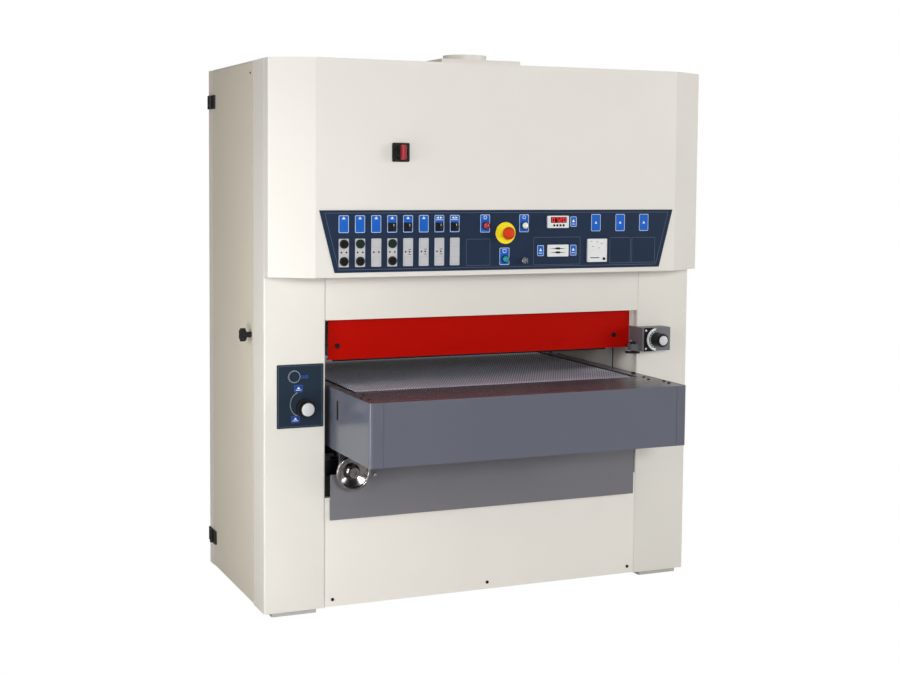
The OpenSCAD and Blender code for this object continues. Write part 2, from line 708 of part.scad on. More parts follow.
// Patterned feed belt round its two rollers
module feed_belt() {
    color("#7C7F84") at_front()
        belt_loop(feed_belt_x - feed_belt_w / 2, feed_belt_w, [-idler_ahead, feed_z], feed_roller_r + gap, feed_roller_r + gap,
            [drive_y + idler_ahead, 0], feed_belt_t);
}
module feed_roller(y, drive_len) {
    len = feed_belt_w + 24;
    color(steel) at_front() {
        translate([0, y, feed_z]) hollow_roller(feed_roller_r, len, 7, 14, feed_shaft_r);
        rod_x([-plate_out, y, feed_z], feed_shaft_r, 2 * plate_out + drive_len);
    }
}
module idler_roller() { feed_roller(-idler_ahead, 0); }
module drive_roller() { feed_roller(drive_y, 80); }

// Shaft mounted gearmotor of the drive roller
module feed_motor() {
    x0 = plate_out;
    color("#4A5058") at_front() difference() {
        union() {
            block([x0, drive_y - 55, feed_z - 60], [x0 + 90, drive_y + 55, feed_z + 55]);
            rod_x([x0 + 90, drive_y, feed_z], 34, 10);
            rod_z([x0 + 60, drive_y, feed_z - 70], 55, 12);
            rod_z([x0 + 60, drive_y, feed_z - 260], 48, 200);
            rod_z([x0 + 60, drive_y, feed_z - 300], 51, 46);
        }
        rod_x([x0 - 1, drive_y, feed_z], feed_shaft_r + run_fit, 120);
    }
}

// Chromed handwheel with a dished web, rim and shaft
module feed_handwheel() {
    rim_r = 7;
    ring = handwheel_d / 2 - rim_r;
    color("#D8DADC") at_front() translate([wheel_x, wheel_y, wheel_z]) {
        rotate([90, 0, 0]) rotate_extrude() translate([ring, 0]) circle(rim_r);
        rotate([90, 0, 0]) rotate_extrude() polygon([[0, -8], [18, -8], [24, -14],
            [ring - 2, -4], [ring - 2, 2], [26, -8], [20, -2], [18, 8], [8, 8], [8, 4], [0, 4]]);
        rod_y([0, 5, 0], wheel_shaft_r, 45);
        rod_y([0, 5, 0], 14, 14.7);
    }
}

// Rubber covered contact drum with its shaft and pulley
module contact_drum() {
    len = abrasive_w + 4;
    color("#2B2C2E") at_front() translate([0, head_y, drum_z]) {
        hollow_roller(drum_r, len, 16, 18, drum_shaft_r);
        rod_x([-abrasive_w / 2 - 26, 0, 0], drum_shaft_r, pulley_x + pulley_w + 6 + abrasive_w / 2 + 26);
        rod_x([pulley_x, 0, 0], drum_pulley_r, pulley_w);
    }
}
module tension_roller() {
    len = abrasive_w + 4;
    color(steel) at_front() translate([0, head_y, tension_z]) {
        hollow_roller(tension_r, len, 10, 16, 20);
        rod_x([-abrasive_w / 2 - 26, 0, 0], 20, abrasive_w + 52);
    }
}
module motor_pulley() {
    color(steel) at_front() translate([0, motor_y, motor_z]) {
        rod_x([half_open - 60, 0, 0], 19, pulley_x + pulley_w + 6 - half_open + 60);
        rod_x([pulley_x, 0, 0], motor_pulley_r, pulley_w);
    }
}

// Rubber covered hold-down rollers before and behind the drum
module pressure_roller(y) {
    color(dark) at_front() translate([0, y, pass_z - 1 + pressure_r]) {
        rod_x([-abrasive_w / 2 - 4, 0, 0], pressure_r, abrasive_w + 8);
        rod_x([-abrasive_w / 2 - 20, 0, 0], 10, abrasive_w + 40);
    }
}
module infeed_pressure_roller() { pressure_roller(head_y - pressure_dy); }
module outfeed_pressure_roller() { pressure_roller(head_y + pressure_dy); }

// Emergency stop mushroom on its stem
module stop_mushroom() {
    r = mushroom_d / 2;
    color("#E5431A") at_front() translate([stop_x, panel_y, stop_z]) rotate([90, 0, 0]) rotate_extrude()
        polygon([[0, 9], [8, 9], [8, 22], [r, 24], [r, 30], [r - 3, 36], [r - 9, 40], [0, 42]]);
}

// Two position selector switch with a pointer bar
module selector(i) {
    color(dark) at_front() translate([starter_x + i * starter_pitch, panel_y, selector_z]) {
        rod_y([0, -6.3, 0], 14, 6);
        rod_y([0, -1, 0], 5, 3.7);
        block([-4, -16, -12], [4, -6, 12]);
    }
}
module selector_1() { selector(3); }
module selector_2() { selector(4); }
module selector_3() { selector(6); }
module selector_4() { selector(7); }
module key_switch() {
    color(steel) at_front() translate([key_x, panel_y, key_z]) {
        rod_y([0, -8, 0], 7, 10.5);
        block([-1.2, -26, -9], [1.2, -7, 9]);
    }
}
module isolator_handle() {
    color("#C8201A") at_front() translate([isolator_x, cab_y - 6, isolator_z]) {
        rod_y([0, -12, 0], 24, 11.7);
        rod_y([0, -2, 0], 6, 6.5);
        block([-7, -34, -26], [7, -11, 26]);
    }
}
module speed_knob() {
    color(dark) at_front() translate([speed_x, -sheet, speed_z]) {
        rod_y([0, -11, 0], speed_knob_d / 2, 10.7);
        rod_y([0, -30, 0], speed_knob_d / 2 - 8, 20);
        rod_y([0, -36, 0], speed_knob_d / 2 - 10, 7);
        rod_y([0, -1, 0], 6, 3.7);
    }
}
module dial_knob() {
    color(dark) at_front() translate([dial_x, bracket_lo.y, dial_z]) {
        rod_y([0, -42, 0], dial_knob_d / 2, 41.7);
        rod_y([0, -48, 0], dial_knob_d / 2 - 7, 7);
        rod_y([0, -1, 0], 6, 3.7);
    }
}

// Thickness feeler disc hung from its sliding stem
module feeler_disc() {
    color(dark) at_front() translate([feeler_x, feeler_y, feeler_z]) {
        cylinder(r = 28, h = 4);
        cylinder(r = stem_r, h = bracket_lo.z - feeler_z + 34);
        rod_z([0, 0, bracket_lo.z - feeler_z + 24.4], 9, 6);
    }
}

main_frame();
floor_pads();
left_column();
right_column();
lower_front_panel();
upper_front_panel();
control_cabinet();
roof_plate();
rear_panel();
right_side_cover();
dust_outlet();
infeed_guard();
operator_panel();
starter_plates();
panel_fittings();
panel_instruments();
side_panel();
gauge_bracket();
main_motor();
sanding_belt();
drive_belts();
hinge_frame_halves();
lift_drive();
table_frame();
table_fairing();
table_strips();
table_skirt();
feed_belt();
feed_motor();
idler_roller();
drive_roller();
feed_handwheel();
contact_drum();
tension_roller();
motor_pulley();
infeed_pressure_roller();
outfeed_pressure_roller();
lift_screw_1();
lift_screw_2();
lift_screw_3();
lift_screw_4();
side_door();
hinge_door_halves();
side_door_knob();
button_1();
button_2();
button_3();
button_4();
button_5();
button_6();
stop_mushroom();
selector_1();
selector_2();
selector_3();
selector_4();
key_switch();
isolator_handle();
speed_knob();
dial_knob();
feeler_disc();
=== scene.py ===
import math
import bmesh
import bpy
from mathutils import Matrix, Vector


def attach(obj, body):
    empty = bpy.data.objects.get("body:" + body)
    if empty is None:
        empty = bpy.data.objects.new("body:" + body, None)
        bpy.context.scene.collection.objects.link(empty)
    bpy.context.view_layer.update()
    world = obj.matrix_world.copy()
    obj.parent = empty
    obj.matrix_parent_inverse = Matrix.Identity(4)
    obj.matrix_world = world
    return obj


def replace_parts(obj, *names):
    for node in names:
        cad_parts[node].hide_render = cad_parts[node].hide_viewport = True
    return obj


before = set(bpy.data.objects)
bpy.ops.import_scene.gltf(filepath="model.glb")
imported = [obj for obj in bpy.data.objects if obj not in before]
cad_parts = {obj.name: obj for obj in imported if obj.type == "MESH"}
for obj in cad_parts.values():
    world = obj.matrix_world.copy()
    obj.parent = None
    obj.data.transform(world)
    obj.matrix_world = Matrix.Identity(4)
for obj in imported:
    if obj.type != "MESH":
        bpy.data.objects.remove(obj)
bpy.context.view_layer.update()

# Welded stand
# Square tube and plate are welded into one stand that carries every other piece, and powder coated cream.
# The pads under its corners are flame-cut plate, painted grey.


def linear(code, gain=1.0):
    """Linear colour of an sRGB hex code, brightened or darkened by gain."""
    parts = [int(code[i:i + 2], 16) / 255.0 for i in (0, 2, 4)]
    flat = [p / 12.92 if p <= 0.04045 else ((p + 0.055) / 1.055) ** 2.4 for p in parts]
    return [min(1.0, p * gain) for p in flat] + [1.0]


def add(tree, kind, links=None, **values):
    """New shader node with its input values and its incoming links, both set by socket."""
    made = tree.nodes.new(kind)
    for socket, value in values.items():
        made.inputs[socket.replace("_", " ")].default_value = value
    for socket, source in (links or {}).items():
        tree.links.new(source, made.inputs[socket])
    return made


def finish_of(name, code, rough, metal=0.0, drift_mm=60.0, spread=0.04, grain_mm=1.2, relief=0.03,
              coat=0.0, shine=0.5, stretch=(1, 1, 1)):
    """Material whose tone and gloss drift over the piece, with a fine relief in the surface."""
    gloss_drift = 0.05
    made = bpy.data.materials.new(name)
    made.use_nodes = True
    tree = made.node_tree
    shader = tree.nodes["Principled BSDF"]
    shader.inputs["Metallic"].default_value = metal
    shader.inputs["Specular IOR Level"].default_value = shine
    shader.inputs["Coat Weight"].default_value = coat
    shader.inputs["Coat Roughness"].default_value = 0.12
    place = add(tree, "ShaderNodeTexCoord")
    stretched = add(tree, "ShaderNodeMapping", {"Vector": place.outputs["Object"]}, Scale=stretch)
    spot = {"Vector": stretched.outputs["Vector"]}
    drift = add(tree, "ShaderNodeTexNoise", spot, Scale=1000.0 / drift_mm, Detail=4.0)
    grain = add(tree, "ShaderNodeTexNoise", spot, Scale=1000.0 / grain_mm, Detail=2.0)
    tone = add(tree, "ShaderNodeValToRGB", {"Fac": drift.outputs["Fac"]})
    for stop, position, gain in zip(tone.color_ramp.elements, (0.3, 0.7), (1.0 - spread, 1.0 + spread)):
        stop.position = position
        stop.color = linear(code, gain)
    gloss = add(tree, "ShaderNodeMapRange", {"Value": drift.outputs["Fac"]},
                To_Min=max(0.02, rough - gloss_drift), To_Max=rough + gloss_drift)
    bump = add(tree, "ShaderNodeBump", {"Height": grain.outputs["Fac"]}, Strength=relief, Distance=0.001)
    tree.links.new(tone.outputs["Color"], shader.inputs["Base Color"])
    tree.links.new(gloss.outputs["Result"], shader.inputs["Roughness"])
    tree.links.new(bump.outputs["Normal"], shader.inputs["Normal"])
    return made


def dress(material, *names):
    """Gives CAD nodes one material."""
    for name in names:
        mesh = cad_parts[name].data
        mesh.materials.clear()
        mesh.materials.append(material)


def powder_coat(name, code, spread=0.015):
    """Baked powder coat: half gloss, even in tone over a large sheet, with a very fine orange peel."""
    return finish_of(name, code, 0.42, drift_mm=400.0, spread=spread, grain_mm=0.9, relief=0.05)


cream_paint = powder_coat("cream_powder_coat", "E5E2DB")
# Brushed enamel on the pads is a plain grey, a little duller than the coat above it.
pad_paint = finish_of("pad_enamel", "B9B7B2", 0.5)
dress(cream_paint, "main_frame")
dress(pad_paint, "floor_pads")

# Columns, front panels and roof
# Folded sheet steel, powder coated cream, closes the stand on all sides.
# Black button-head screws hold the lower front panel, the rear panel, the roof and the right side cover.
MM = 0.001
SHARP = 35.0
FORWARD = (0, -1, 0)
BACKWARD = (0, 1, 0)
LEFT = (-1, 0, 0)
UP = (0, 0, 1)
FRONT = -265.0
REAR = 480.0
ROOF = 1900.0
SHEET_HEAD = (6.0, 3.4)
SMALL_HEAD = (4.0, 2.4)
LOWER_SCREW_X = (-587.0, 5.0, 589.0)
LOWER_SCREW_Z = 41.0
REAR_SIDE_X = (-818.0, 818.0)
REAR_SIDE_Z = (60.0, 420.0, 780.0, 1140.0, 1500.0, 1850.0)
REAR_ROW_X = (-545.0, -182.0, 182.0, 545.0)
REAR_ROW_Z = (40.0, 1872.0)
ROOF_SCREW_X = (-810.0, -405.0, 405.0, 810.0)
ROOF_SCREW_Y = (-240.0, 455.0)
COVER_RIM_X = 840.5
COVER_RIMS = ((440.0, BACKWARD), (-145.0, FORWARD))
COVER_SCREW_Z = (80.0, 510.0, 955.0, 1400.0, 1830.0)
# A thin black strip down the right wall of the passage is painted shade, standing for the dark inside of a
# vertical slot in that wall.
WALL_SLOT_SHADE_AT = (614.6, -85.5, 0.0)
WALL_SLOT_SHADE_Z = 800.0
WALL_SLOT_SHADE_SIZE = (7.0, 400.0)
WALL_SLOT_SHADE_T = 0.8


def lathe(bm, profile, at, aim, steps):
    """Turned solid of (radius, height) points in millimetres, standing at a point and pointing along aim."""
    others = set(bm.verts)
    line = [bm.verts.new((radius * MM, 0.0, height * MM)) for radius, height in profile]
    edges = [bm.edges.new(pair) for pair in zip(line, line[1:])]
    bmesh.ops.spin(bm, geom=line + edges, cent=(0, 0, 0), axis=UP, angle=2 * math.pi, steps=steps,
                   use_merge=True)
    bmesh.ops.remove_doubles(bm, verts=[v for v in bm.verts if v not in others], dist=1e-7)
    turn = Vector(UP).rotation_difference(Vector(aim)).to_matrix().to_4x4()
    place = Matrix.Translation([c * MM for c in at])
    bmesh.ops.transform(bm, matrix=place @ turn, verts=[v for v in bm.verts if v not in others])


def prism(bm, points, centre, front, thick):
    """Solid with a flat outline of x, z points about a centre, from its face at y = front back by thick."""
    corners = [bm.verts.new(((centre[0] + x) * MM, front * MM, (centre[1] + z) * MM)) for x, z in points]
    grown = bmesh.ops.extrude_face_region(bm, geom=[bm.faces.new(corners)])
    back = [item for item in grown["geom"] if isinstance(item, bmesh.types.BMVert)]
    bmesh.ops.translate(bm, vec=(0.0, thick * MM, 0.0), verts=back)


def slab(bm, centre, size, front, thick, radius=0.0, tilt=0.0):
    """Plate facing -Y; centre is its x and z, front the y of its face, radius rounds its corners."""
    steps = (0.0, 22.5, 45.0, 67.5, 90.0) if radius > 0 else (45.0,)
    points = []
    for corner, (side_x, side_z) in enumerate(((1, 1), (-1, 1), (-1, -1), (1, -1))):
        for step in steps:
            angle = math.radians(90.0 * corner + step)
            x = side_x * (size[0] / 2.0 - radius) + radius * math.cos(angle)
            z = side_z * (size[1] / 2.0 - radius) + radius * math.sin(angle)
            points.append((x * math.cos(tilt) - z * math.sin(tilt), x * math.sin(tilt) + z * math.cos(tilt)))
    prism(bm, points, centre, front, thick)


def turn_left(bm, at):
    """Turns what was made facing -Y, with its face at y = 0, to face -X, and moves it to a place."""
    turn = Matrix.Rotation(math.radians(-90.0), 3, "Z")
    bmesh.ops.rotate(bm, cent=(0, 0, 0), matrix=turn, verts=bm.verts[:])
    bmesh.ops.translate(bm, vec=[c * MM for c in at], verts=bm.verts[:])


def piece(bm, name, material, body):
    """Mesh object made from bm that moves with a body, smooth but for its sharp edges."""
    bmesh.ops.recalc_face_normals(bm, faces=bm.faces[:])
    mesh = bpy.data.meshes.new(name)
    bm.to_mesh(mesh)
    bm.free()
    for face in mesh.polygons:
        face.use_smooth = True
    mesh.set_sharp_from_angle(angle=math.radians(SHARP))
    mesh.materials.append(material)
    made = bpy.data.objects.new(name, mesh)
    bpy.context.scene.collection.objects.link(made)
    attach(made, body)
    return made


def screw(bm, at, aim, r, high):
    """Button-head socket screw with a round recess for the key."""
    recess = r * 0.45
    profile = [(0, high * 0.45), (recess, high * 0.45), (recess, high), (r * 0.7, high),
               (r * 0.92, high * 0.7), (r, 0.0), (0, 0.0)]
    lathe(bm, profile, at, aim, steps=24)


# The lower panel is a shade paler than the columns.
panel_paint = powder_coat("front_panel_powder_coat", "EFEBE4")
dress(panel_paint, "lower_front_panel")
dress(cream_paint, "left_column", "right_column", "upper_front_panel")
dress(cream_paint, "roof_plate", "rear_panel", "right_side_cover")
# Black oxide leaves steel nearly black, with a dull metallic edge to its highlights.
black_oxide = finish_of("black_oxide_screw", "1A1A1C", 0.45, metal=0.6, drift_mm=5.0, grain_mm=0.5)
lower_screws = bmesh.new()
for x in LOWER_SCREW_X:
    screw(lower_screws, (x, FRONT, LOWER_SCREW_Z), FORWARD, *SHEET_HEAD)
piece(lower_screws, "lower_panel_screws", black_oxide, "machine")
rear_screws = bmesh.new()
rear_places = [(x, z) for x in REAR_SIDE_X for z in REAR_SIDE_Z]
rear_places += [(x, z) for x in REAR_ROW_X for z in REAR_ROW_Z]
for x, z in rear_places:
    screw(rear_screws, (x, REAR, z), BACKWARD, *SHEET_HEAD)
piece(rear_screws, "rear_panel_screws", black_oxide, "machine")
roof_screws = bmesh.new()
for x in ROOF_SCREW_X:
    for y in ROOF_SCREW_Y:
        screw(roof_screws, (x, y, ROOF), UP, *SHEET_HEAD)
piece(roof_screws, "roof_screws", black_oxide, "machine")
cover_screws = bmesh.new()
for z in COVER_SCREW_Z:
    for y, aim in COVER_RIMS:
        screw(cover_screws, (COVER_RIM_X, y, z), aim, *SMALL_HEAD)
piece(cover_screws, "right_cover_screws", black_oxide, "machine")
# The black strip on the passage's right wall is painted shade for the slot in it.
wall_slot_shade = bmesh.new()
slab(wall_slot_shade, (0.0, WALL_SLOT_SHADE_Z), WALL_SLOT_SHADE_SIZE, 0.0, WALL_SLOT_SHADE_T)
turn_left(wall_slot_shade, WALL_SLOT_SHADE_AT)
piece(wall_slot_shade, "passage_wall_slot_shade", black_oxide, "machine")

# Overhead control cabinet
# A folded sheet box with bevelled corners carries the switchgear over the work opening.
# It is powder coated with the rest; the dust hood and its rolled collar stand on the roof behind it.
cabinet_paint = powder_coat("cabinet_powder_coat", "EAE7E1")
dress(cabinet_paint, "control_cabinet", "dust_outlet")

# Side door
# A shallow tray door on two lift-off hinges opens the belt side; a moulded lobed knob clamps it shut.
# It is powder coated a warmer cream, and a small black screw sits in its upper front corner.
DOOR_SCREW = (-833.0, -104.0, 1860.0)
door_paint = powder_coat("door_powder_coat", "DDD6C7", spread=0.02)
# Glass-filled nylon is a soft black, with a slightly grainy moulded skin.
black_nylon = finish_of("black_nylon", "101012", 0.48, drift_mm=12.0, grain_mm=0.8, relief=0.1, shine=0.35)
dress(door_paint, "side_door")
dress(black_nylon, "hinge_frame_halves", "hinge_door_halves", "side_door_knob")
door_screw = bmesh.new()
screw(door_screw, DOOR_SCREW, LEFT, *SMALL_HEAD)
piece(door_screw, "side_door_screw", black_oxide, "door")

# Infeed guard
# A red enamelled steel plate keeps hands out of the passage.
# Two black bolts hang it on the front cross beam.
GUARD_FACE = -238.0
GUARD_BOLT_X = (-563.0, 530.0)
GUARD_BOLT_Z = 924.0
GUARD_HEAD = (9.0, 6.0)
# Red enamel is deep and even here, with hardly any glare.
guard_paint = finish_of("red_enamel", "B40A00", 0.4, drift_mm=200.0, spread=0.03, relief=0.02, shine=0.06)
dress(guard_paint, "infeed_guard")
guard_bolts = bmesh.new()
for x in GUARD_BOLT_X:
    screw(guard_bolts, (x, GUARD_FACE, GUARD_BOLT_Z), FORWARD, *GUARD_HEAD)
piece(guard_bolts, "infeed_guard_bolts", black_oxide, "machine")

# Operator panel
# A navy anodised plate on the cabinet's face carries the switches; its lines and labels are screen printed.
# Labels are blue films with pale edges, and each shows a plain sign of what its switch does.
PANEL = -393.0
INK = 0.2
FILM_T = 0.35
FILM = PANEL - FILM_T
LABEL_RIM = 3.6
PANEL_LINE = [(-612.0, 1198.0), (612.0, 1198.0), (661.0, 1388.0), (-661.0, 1388.0)]
PANEL_BOXES = ((-147, -57, 1205, 1296), (113, 298, 1203, 1300),
               (420, 505, 1205, 1296), (511, 607, 1205, 1296))
FINE_LINE = 1.4
EDGE_LINE = 1.6
TURN_LINE = 1.8
SIGN_LINE = 2.0
STARTER_X = [-594.7 + 57.6 * i for i in range(8)]
ARROW_LABELS = 6
STARTER_LABEL = (1350.7, 35.5, 58.5)
START_SIGN_X = (361.0, 460.5, 559.0)
START_LABEL = (1350.5, 38.0, 61.0)
LAMP_LABELS = ((-76.5, 1350.0, 36.5, 62.0), (74.0, 1350.0, 37.0, 62.0))
LOW_LAMP_LABEL = (-1.0, 1235.0, 38.0, 60.0)
SMALL_LABELS = ((270.0, 1355.0, 25.0, 36.0), (140.0, 1253.0, 26.0, 38.0), (270.5, 1253.0, 25.0, 38.0))
PRESS_SIGN_Z = 1368.0
TURN_SIGN_Z = 1364.0
START_SIGN_Z = 1351.0
# Anodised plate is a dark, even blue with a dull sheen; the inks and films on it are flat in tone.
navy_plate = finish_of("navy_anodised_plate", "1D2E47", 0.5, drift_mm=80.0, spread=0.06, grain_mm=0.6,
                       relief=0.04, shine=0.16)
line_ink = finish_of("grey_blue_ink", "4C586E", 0.5, drift_mm=20.0)
label_blue = finish_of("blue_label_film", "0860C6", 0.4, drift_mm=25.0, spread=0.06, shine=0.3)
label_edge = finish_of("pale_label_edge", "C4DAF8", 0.4, drift_mm=25.0)
white_ink = finish_of("white_ink", "F2F4F6", 0.45, drift_mm=10.0, spread=0.02)
dress(navy_plate, "operator_panel")


def bar(bm, a, b, width, front, thick=INK):
    """Printed line between two points of a face that looks along -Y."""
    dx, dz = b[0] - a[0], b[1] - a[1]
    middle = ((a[0] + b[0]) / 2.0, (a[1] + b[1]) / 2.0)
    slab(bm, middle, (math.hypot(dx, dz) + width, width), front - thick, thick, 0.0, math.atan2(dz, dx))


def outline(bm, points, width, front):
    """Closed printed line through points."""
    for a, b in zip(points, points[1:] + points[:1]):
        bar(bm, a, b, width, front)


def box_line(bm, left, right, low, high, width, front):
    """Printed rectangle."""
    outline(bm, [(left, low), (right, low), (right, high), (left, high)], width, front)


def arrow(bm, at, half, foot, tip, front):
    """Printed triangle that points up; foot and tip are heights from a point."""
    prism(bm, [(-half, foot), (half, foot), (0.0, tip)], at, front - INK, INK)


panel_lines = bmesh.new()
outline(panel_lines, PANEL_LINE, EDGE_LINE, PANEL)
for left, right, low, high in PANEL_BOXES:
    box_line(panel_lines, left, right, low, high, FINE_LINE, PANEL)
piece(panel_lines, "panel_lines", line_ink, "machine")
labels = [(x, *STARTER_LABEL) for x in STARTER_X] + [(x, *START_LABEL) for x in START_SIGN_X]
labels += [*LAMP_LABELS, LOW_LAMP_LABEL, *SMALL_LABELS]
label_edges = bmesh.new()
label_films = bmesh.new()
for x, z, w, h in labels:
    slab(label_edges, (x, z), (w, h), PANEL - INK, INK, radius=4.0)
    slab(label_films, (x, z), (w - LABEL_RIM, h - LABEL_RIM), FILM, FILM_T, radius=3.0)
piece(label_edges, "panel_label_edges", label_edge, "machine")
piece(label_films, "panel_labels", label_blue, "machine")
signs = bmesh.new()
for x in STARTER_X[:ARROW_LABELS]:
    bar(signs, (x - 5.0, PRESS_SIGN_Z), (x + 5.0, PRESS_SIGN_Z), SIGN_LINE, FILM)
    arrow(signs, (x, PRESS_SIGN_Z), half=4.5, foot=1.5, tip=8.0, front=FILM)
for x in STARTER_X[ARROW_LABELS:]:
    for side in (-1, 1):
        half_arrow = [(side * 2.0, -4.0), (side * 12.0, 0.0), (side * 2.0, 4.0)]
        prism(signs, half_arrow, (x, TURN_SIGN_Z + 7.0), FILM - INK, INK)
    bar(signs, (x - 12.0, TURN_SIGN_Z), (x + 12.0, TURN_SIGN_Z), TURN_LINE, FILM)
for x in START_SIGN_X:
    arrow(signs, (x, START_SIGN_Z), half=5.0, foot=-4.0, tip=5.0, front=FILM)
for x, z, w, h in LAMP_LABELS:
    box_line(signs, x - 5.0, x + 5.0, z + 16.0, z + 26.0, EDGE_LINE, FILM)
x, z, w, h = LOW_LAMP_LABEL
box_line(signs, x - 6.0, x + 6.0, z + 13.0, z + 24.0, TURN_LINE, FILM)
for x, z, w, h in SMALL_LABELS:
    bar(signs, (x - 6.0, z - 9.0), (x + 6.0, z - 9.0), SIGN_LINE, FILM)
    arrow(signs, (x, z), half=6.0, foot=-2.0, tip=9.0, front=FILM)
piece(signs, "panel_signs", white_ink, "machine")

# Starter plates and push buttons
# Grey moulded cover plates clip over the motor starters; three of them hold an upper and a lower push button.
# Bezels and caps are moulded black or dark green, and small holes and printed squares mark the other places;
# the holes and slots are flat black discs and bars, painted shade for their dark insides.
PLATE = PANEL - 3.0
BUTTON_PLATES = (0, 1, 3)
BLANK_PLATES = (2, 4, 5, 6, 7)
BUTTON_ROWS = (1284.4, 1226.0)
BEZEL = [(11.2, 4.1), (11.2, 5.2), (14.2, 5.2), (15.4, 4.0), (15.4, 0.0), (15.1, 0.0), (15.1, 4.1),
         (11.2, 4.1)]
HOLE = [(0, 0.25), (3.0, 0.25), (3.2, 0.0), (0, 0.0)]
HOLE_Z = 1256.0
HOLED_PLATES = 7
PAIRED_HOLES = 4
SLOT_Z = (1264.0, 1247.0)
SQUARE = 13.0
SQUARE_LINE = 0.8
# Grey ABS is pale and dull, with a fine texture from its mould; the caps are smooth and nearly black.
starter_grey = finish_of("grey_moulding", "C3C4C9", 0.5, drift_mm=30.0, spread=0.03, relief=0.06, shine=0.3)
square_grey = finish_of("grey_moulding_edge", "A6A8AE", 0.5)
button_black = finish_of("black_button_cap", "0B0B0D", 0.35, drift_mm=10.0, shine=0.25)
button_green = finish_of("green_button_cap", "0B2E27", 0.35, drift_mm=10.0, shine=0.25)
dress(starter_grey, "starter_plates")
dress(button_black, "button_1", "button_2", "button_4", "button_6")
dress(button_green, "button_3", "button_5")
bezels = bmesh.new()
for i in BUTTON_PLATES:
    for z in BUTTON_ROWS:
        lathe(bezels, BEZEL, (STARTER_X[i], PLATE, z), FORWARD, steps=40)
piece(bezels, "button_bezels", black_nylon, "machine")
# Flat black discs and bars are painted shade for the insides of the plates' holes and slots.
hole_shade_marks = bmesh.new()
for i, x in enumerate(STARTER_X[:HOLED_PLATES]):
    paired = i < PAIRED_HOLES
    for offset in (-9.0, 9.0 if paired else 5.0):
        lathe(hole_shade_marks, HOLE, (x + offset, PLATE, HOLE_Z), FORWARD, steps=16)
    if not paired:
        for z in SLOT_Z:
            bar(hole_shade_marks, (x + 2.0, z), (x + 10.0, z), SIGN_LINE, PLATE)
piece(hole_shade_marks, "starter_plate_hole_shade", black_oxide, "machine")
plate_lines = bmesh.new()
for i in BLANK_PLATES:
    for z in BUTTON_ROWS:
        x = STARTER_X[i]
        box_line(plate_lines, x - SQUARE, x + SQUARE, z - SQUARE, z + SQUARE, SQUARE_LINE, PLATE)
piece(plate_lines, "starter_plate_lines", square_grey, "machine")

# Emergency stop, lamps and key switch
# The stop's red mushroom stands on a yellow collar; lamps are domed lenses in black bezels.
# The key switch is plated, and these turned and moulded pieces screw into the panel from the front.
STOP = (2.0, PANEL, 1316.5)
COLLAR = [(8.3, 0.0), (8.3, 15.0), (14.0, 15.0), (15.0, 14.0), (15.0, 3.0), (37.0, 3.0), (38.0, 2.2),
          (38.0, 0.0), (8.3, 0.0)]
LAMPS = (("red_lamp", -73.5, 1343.0, "B8222C"), ("white_lamp", 76.6, 1342.0, "F4F6F8"),
         ("teal_lamp", 2.0, 1225.0, "1496A8"))
LAMP_BEZEL = [(11.6, 0.0), (11.6, 6.0), (13.2, 6.0), (14.0, 5.2), (14.0, 0.0), (11.6, 0.0)]
LENS = [(0, 14.0), (4.0, 13.6), (7.5, 12.3), (10.2, 10.0), (11.5, 7.0), (11.5, 0.0), (0, 0.0)]
KEY = (77.0, PANEL, 1219.0)
BARREL = [(7.15, 0.0), (7.15, 6.0), (10.0, 6.0), (11.0, 5.0), (11.0, 0.0), (7.15, 0.0)]
# Moulded yellow and red are bright and clean; plated steel mirrors the room a little softly.
stop_yellow = finish_of("yellow_moulding", "FFEC20", 0.35, drift_mm=30.0, spread=0.03, coat=0.2)
stop_red = finish_of("red_moulding", "DC3C12", 0.35, drift_mm=20.0, spread=0.04, shine=0.3)
plated_steel = finish_of("plated_steel", "C9CCD0", 0.22, metal=1.0, drift_mm=15.0, grain_mm=0.4, relief=0.02)
dress(stop_red, "stop_mushroom")
dress(plated_steel, "key_switch")
collar = bmesh.new()
lathe(collar, COLLAR, STOP, FORWARD, steps=64)
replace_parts(piece(collar, "stop_collar", stop_yellow, "machine"), "panel_fittings")
lamp_bezels = bmesh.new()
for name, x, z, code in LAMPS:
    lathe(lamp_bezels, LAMP_BEZEL, (x, PANEL, z), FORWARD, steps=40)
piece(lamp_bezels, "lamp_bezels", black_nylon, "machine")
for name, x, z, code in LAMPS:
    lens = bmesh.new()
    lathe(lens, LENS, (x, PANEL, z), FORWARD, steps=40)
    glassy = finish_of(name + "_lens", code, 0.15, drift_mm=8.0, spread=0.08, grain_mm=0.9, coat=0.6)
    piece(lens, name, glassy, "machine")
barrel = bmesh.new()
lathe(barrel, BARREL, KEY, FORWARD, steps=40)
piece(barrel, "key_barrel", plated_steel, "machine")

# Selector switches
# Four rotary switches moulded in black nylon turn on the lower half of their labels, over black seats.
# A white line on each pointer bar shows its setting.
SELECTOR_PLATES = (3, 4, 6, 7)
SEAT_Z = 1340.0
SEAT_SIZE = (30.0, 29.0)
SEAT_T = 0.1
POINTER_FACE = PANEL - 16.0
POINTER_Z = (1344.0, 1350.0)
dress(black_nylon, "selector_1", "selector_2", "selector_3", "selector_4")
seats = bmesh.new()
for i in SELECTOR_PLATES:
    slab(seats, (STARTER_X[i], SEAT_Z), SEAT_SIZE, FILM - SEAT_T, SEAT_T, radius=2.5)
piece(seats, "selector_seats", button_black, "machine")
for number, i in enumerate(SELECTOR_PLATES, 1):
    mark = bmesh.new()
    bar(mark, (STARTER_X[i], POINTER_Z[0]), (STARTER_X[i], POINTER_Z[1]), FINE_LINE, POINTER_FACE)
    piece(mark, "selector_mark_%d" % number, white_ink, "selector_%d" % number)

